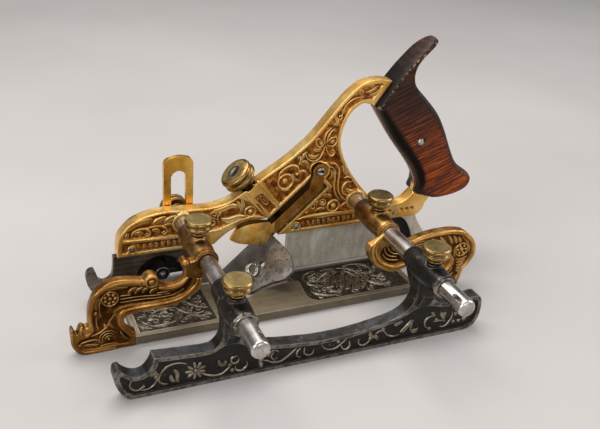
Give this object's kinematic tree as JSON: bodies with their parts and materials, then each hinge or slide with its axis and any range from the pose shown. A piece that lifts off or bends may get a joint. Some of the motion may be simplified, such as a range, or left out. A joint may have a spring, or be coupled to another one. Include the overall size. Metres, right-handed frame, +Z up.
{
  "type": "plough plane",
  "caption": "Combined plough and filletster plane: carved gilt stock, steel skates, wooden handle, and a sliding ornamented bed and fence on round arms.",
  "frame": {"origin": "middle of the rear skate's sole, on the surface the plane rests on", "axes": "+X from toe to heel, +Y from the fence towards the far side, +Z up"},
  "size_m": [0.3085, 0.174, 0.1683],
  "materials": {
    "gilt_bronze": "satin gilt with dark carved fields",
    "steel": "worn bright steel",
    "old_steel": "pitted grey steel",
    "rosewood": "oiled, worn at the edges",
    "japanned_iron": "black japan, worn bright on the edges",
    "brown_bronze": "brown bronze with gilt highlights",
    "brass": "dull turned brass"
  },
  "bodies": {
    "stock": {"main_stock": "gilt_bronze", "front_skate": "steel", "rear_skate": "steel", "skate_rivets": "steel", "handle_tote": "rosewood", "handle_rivet": "steel", "front_arm": "steel", "rear_arm": "steel", "clamp_pivot_screw": "steel"},
    "bed": {"bed_front_bracket": "brown_bronze", "bed_rear_bracket": "brown_bronze", "bed_plate": "old_steel", "bed_screws": "steel"},
    "fence_slide": {"fence": "japanned_iron"},
    "blade": {"cutter": "old_steel", "cutter_wire": "steel"},
    "lever": {"clamp_lever": "brown_bronze"},
    "wheel": {"clamp_wheel": "brass"},
    "screw": {"clamp_screw": "steel"},
    "stop": {"depth_stop": "gilt_bronze", "depth_stop_shoe": "japanned_iron", "depth_stop_rivets": "steel"},
    "bed_front_thumb": {"bed_front_thumbscrew": "brass"},
    "bed_rear_thumb": {"bed_rear_thumbscrew": "brass"},
    "fence_front_thumb": {"fence_front_thumbscrew": "brass"},
    "fence_rear_thumb": {"fence_rear_thumbscrew": "brass"},
    "stop_thumb": {"depth_stop_thumbscrew": "brass"}
  },
  "joints": [
    {"name": "bed_slide", "type": "slide", "parent": "stock", "child": "bed", "axis": [0, 1, 0], "range_m": [-0.026, 0.0005]},
    {"name": "fence_slide", "type": "slide", "parent": "stock", "child": "fence_slide", "axis": [0, 1, 0], "range_m": [-0.02, 0.026]},
    {"name": "cutter_slide", "type": "slide", "parent": "stock", "child": "blade", "axis": [0.7431, 0, 0.6691], "range_m": [-0.002, 0.001]},
    {"name": "depth_stop_slide", "type": "slide", "parent": "stock", "child": "stop", "axis": [0, 0, 1], "range_m": [-0.007, 0.008]},
    {"name": "wheel_turn", "type": "hinge", "parent": "stock", "child": "wheel", "pos_m": [-0.06833, 0, 0.07041], "axis": [-0.6691, 0, 0.7431], "range_deg": [0, 540]},
    {"name": "screw_lift", "type": "slide", "parent": "stock", "child": "screw", "axis": [-0.6691, 0, 0.7431], "range_m": [0, 0.00148]},
    {"name": "lever_lift", "type": "hinge", "parent": "stock", "child": "lever", "pos_m": [-0.01935, 0, 0.07952], "axis": [0, 1, 0], "range_deg": [0, 2]},
    {"name": "bed_front_thumb_turn", "type": "hinge", "parent": "bed", "child": "bed_front_thumb", "pos_m": [-0.116, -0.03989, 0.052], "axis": [0, 0, 1], "range_deg": [0, 360]},
    {"name": "bed_rear_thumb_turn", "type": "hinge", "parent": "bed", "child": "bed_rear_thumb", "pos_m": [0.012, -0.03989, 0.052], "axis": [0, 0, 1], "range_deg": [0, 360]},
    {"name": "fence_front_thumb_turn", "type": "hinge", "parent": "fence_slide", "child": "fence_front_thumb", "pos_m": [-0.116, -0.11276, 0.052], "axis": [0, 0, 1], "range_deg": [0, 360]},
    {"name": "fence_rear_thumb_turn", "type": "hinge", "parent": "fence_slide", "child": "fence_rear_thumb", "pos_m": [0.012, -0.11276, 0.052], "axis": [0, 0, 1], "range_deg": [0, 360]},
    {"name": "stop_thumb_turn", "type": "hinge", "parent": "stock", "child": "stop_thumb", "pos_m": [-0.116, 0.01, 0.052], "axis": [0, 1, 0], "range_deg": [0, 360]}
  ],
  "couplings": [
    {"joint": "screw_lift", "follows": "wheel_turn", "m_per_rad": 0.00015703},
    {"joint": "lever_lift", "follows": "wheel_turn", "ratio": 0.0037037}
  ]
}
